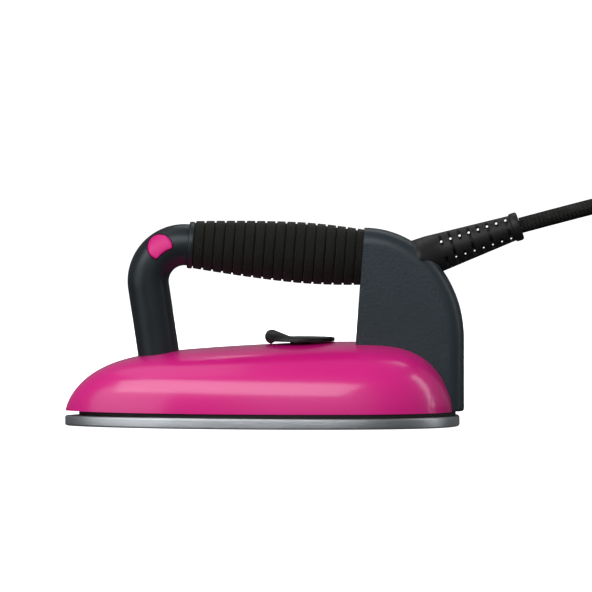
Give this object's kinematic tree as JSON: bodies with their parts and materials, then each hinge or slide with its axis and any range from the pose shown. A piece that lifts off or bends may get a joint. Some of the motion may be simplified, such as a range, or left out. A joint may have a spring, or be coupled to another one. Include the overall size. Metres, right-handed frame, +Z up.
{
  "type": "clothes iron",
  "caption": "Steam-station clothes iron: bent tubular handle with a ribbed grip, glossy cover, thin metal soleplate, dial, thumb buttons and a cord with a connector.",
  "frame": {"origin": "under the middle of the iron, on the surface that it stands on, the cord left out", "axes": "-X towards the nose, +X towards the heel and the cord, +Z up; the user stands behind the heel, so left is -Y"},
  "size_m": [0.5372, 0.1385, 0.1327],
  "materials": {
    "plate_metal": "brushed rim, polished sole",
    "shield_plastic": "matte heat-proof plastic",
    "cover_gloss": "glossy moulded plastic",
    "button_gloss": "glossy moulded plastic",
    "handle_plastic": "satin moulded plastic",
    "housing_plastic": "fine-grained sides, satin border",
    "grip_foam": "matte soft sleeve",
    "dial_plastic": "satin",
    "guard_rubber": "matte",
    "cord_braid": "woven textile over rubber",
    "connector_plastic": "satin",
    "brass": "machined",
    "steel": "plain",
    "sheath_steel": "heat-tinted",
    "gasket_silicone": "matte",
    "ceramic": "matte",
    "board_green": "matte",
    "lead_insulation": "glass-silk sleeved",
    "pipe_silicone": "translucent matte"
  },
  "bodies": {
    "iron": {"soleplate": "plate_metal", "heating_element": "sheath_steel", "element_pins": "steel", "chamber_gasket": "gasket_silicone", "chamber_lid": "plate_metal", "lid_screws": "steel", "steam_inlet": "brass", "heat_shield": "shield_plastic", "shield_screws": "steel", "cover": "cover_gloss", "thermostat_body": "ceramic", "thermostat_screws": "steel", "thermal_fuse": "steel", "fuse_clip": "steel", "front_pillar": "handle_plastic", "pillar_screws": "steel", "handle_left_half": "handle_plastic", "handle_right_half": "handle_plastic", "handle_screws": "steel", "grip_collar": "handle_plastic", "grip_sleeve": "grip_foam", "button_spring_left": "steel", "button_spring_right": "steel", "switch_board": "board_green", "microswitches": "dial_plastic", "switch_cable": "lead_insulation", "rear_housing_left": "housing_plastic", "rear_housing_right": "housing_plastic", "housing_screws": "steel", "rear_bracket": "steel", "bracket_screws": "steel", "cord_guard": "guard_rubber", "cord_inner": "cord_braid", "cord_clamp": "handle_plastic", "clamp_screws": "steel", "terminal_block": "ceramic", "terminal_screws": "brass", "supply_leads": "lead_insulation", "live_lead": "lead_insulation", "neutral_lead": "lead_insulation", "load_lead": "lead_insulation", "link_lead": "lead_insulation", "earth_lead": "lead_insulation", "earth_stud": "brass", "steam_pipe": "pipe_silicone", "cord_run": "cord_braid", "cord_coil": "cord_braid", "cord_tail": "cord_braid", "connector_guard": "connector_plastic", "connector_body": "connector_plastic", "connector_spigot": "brass", "connector_pins": "brass"},
    "dial": {"temperature_dial": "dial_plastic", "thermostat_spindle": "steel", "dial_retainer": "steel"},
    "button_left": {"steam_button_left": "button_gloss", "switch_plunger_left": "dial_plastic"},
    "button_right": {"steam_button_right": "button_gloss", "switch_plunger_right": "dial_plastic"}
  },
  "joints": [
    {"name": "dial_turn", "type": "hinge", "parent": "iron", "child": "dial", "pos_m": [0.0206, 0, 0.05], "axis": [0, 0, 1], "range_deg": [-60, 60]},
    {"name": "button_left_press", "type": "slide", "parent": "iron", "child": "button_left", "axis": [0, 1, 0], "range_m": [0, 0.0012], "stiffness_N_per_m": 400, "springref_m": -0.0015, "deforming": ["button_spring_left"]},
    {"name": "button_right_press", "type": "slide", "parent": "iron", "child": "button_right", "axis": [0, -1, 0], "range_m": [0, 0.0012], "stiffness_N_per_m": 400, "springref_m": -0.0015, "deforming": ["button_spring_right"]}
  ]
}
